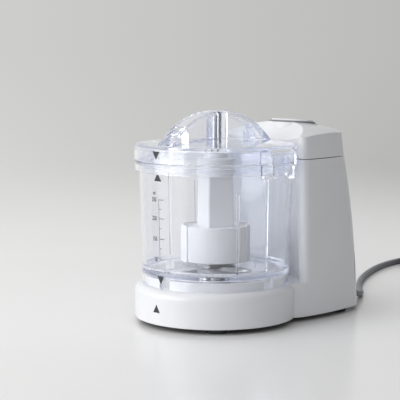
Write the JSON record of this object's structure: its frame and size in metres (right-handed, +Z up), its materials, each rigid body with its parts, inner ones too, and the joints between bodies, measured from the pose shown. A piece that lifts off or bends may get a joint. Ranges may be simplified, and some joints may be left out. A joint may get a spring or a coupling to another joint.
{
  "type": "mini food chopper",
  "caption": "Electric mini food chopper: clear bowl and lid with an arched grip on a low white drive platform, motor tower with a push button behind it.",
  "frame": {"origin": "centre of the appliance's footprint, with its lead left out, on the surface that it stands on", "axes": "+Z up; -Y towards the front, where the bowl's marks and scale are; +Y towards the motor tower; +X to the right seen from the front"},
  "size_m": [0.13, 0.3919, 0.1449],
  "materials": {
    "white_gloss": "gloss",
    "white_satin": "satin",
    "clear_plastic": "clear, polished",
    "dark_plastic": "matte",
    "black_rubber": "matte",
    "cord_grey": "satin",
    "ground_steel": "ground",
    "plated_steel": "bright",
    "sintered_bronze": "dull",
    "core_steel": "laminated",
    "copper_wire": "enamelled",
    "carbon": "dull",
    "moulded_black": "satin"
  },
  "bodies": {
    "base": {"base_housing": "white_gloss", "tower_cap": "white_gloss", "bottom_cover": "dark_plastic", "rubber_feet": "black_rubber", "cover_screws": "plated_steel", "button_bezel": "moulded_black", "button_spring": "plated_steel", "switch_carrier": "white_satin", "pulse_switch": "moulded_black", "interlock_switch": "moulded_black", "upper_bush": "sintered_bronze", "lower_bush": "sintered_bronze", "spindle_seal": "black_rubber", "drive_belt": "black_rubber", "lower_bracket": "core_steel", "upper_bracket": "core_steel", "lower_bearing": "plated_steel", "upper_bearing": "plated_steel", "motor_stator": "core_steel", "field_coils": "copper_wire", "motor_bolts": "plated_steel", "carbon_brushes": "carbon", "brush_holders": "sintered_bronze", "cord_guard": "cord_grey", "cord_clamp": "white_satin", "inner_lead": "cord_grey", "terminal_block": "white_satin", "power_cord": "cord_grey", "cord_coil": "cord_grey", "coil_tie": "moulded_black", "plug_lead": "cord_grey", "plug_body": "cord_grey", "plug_pins": "plated_steel"},
    "drive": {"drive_spindle": "plated_steel", "drive_tip": "white_satin", "driven_pulley": "white_satin", "spindle_clip": "plated_steel"},
    "rotor": {"motor_shaft": "plated_steel", "armature_core": "core_steel", "armature_windings": "copper_wire", "commutator": "copper_wire", "cooling_fan": "white_satin", "motor_pulley": "ground_steel"},
    "button": {"pulse_button": "white_gloss"},
    "plunger": {"interlock_plunger": "white_satin"},
    "bowl": {"chopper_bowl": "clear_plastic"},
    "blade": {"blade_hub": "white_satin", "lower_blade": "ground_steel", "upper_blade": "ground_steel"},
    "cover": {"lid": "clear_plastic", "lid_pin": "plated_steel"}
  },
  "joints": [
    {"name": "rotor_spin", "type": "hinge", "parent": "base", "child": "rotor", "pos_m": [0, 0.05425, 0.05], "axis": [0, 0, 1], "continuous": true},
    {"name": "spindle_spin", "type": "hinge", "parent": "base", "child": "drive", "pos_m": [0, -0.02775, 0.05], "axis": [0, 0, 1], "continuous": true},
    {"name": "bowl_lift", "type": "slide", "parent": "base", "child": "bowl", "axis": [0, 0, 1], "range_m": [0, 0.1]},
    {"name": "blade_spin", "type": "hinge", "parent": "bowl", "child": "blade", "pos_m": [0, -0.02775, 0.05], "axis": [0, 0, 1], "continuous": true},
    {"name": "lid_lift", "type": "slide", "parent": "bowl", "child": "cover", "axis": [0, 0, 1], "range_m": [0, 0.06]},
    {"name": "button_press", "type": "slide", "parent": "base", "child": "button", "axis": [0, -0.0873, -0.9962], "range_m": [0, 0.003], "stiffness_N_per_m": 500, "springref_m": -0.002, "deforming": ["button_spring"]},
    {"name": "interlock_push", "type": "slide", "parent": "base", "child": "plunger", "axis": [0, 1, 0], "range_m": [0, 0.002], "stiffness_N_per_m": 300, "springref_m": -0.002}
  ],
  "couplings": [
    {"joint": "spindle_spin", "follows": "rotor_spin", "ratio": 0.25},
    {"joint": "blade_spin", "follows": "rotor_spin", "ratio": 0.25}
  ]
}
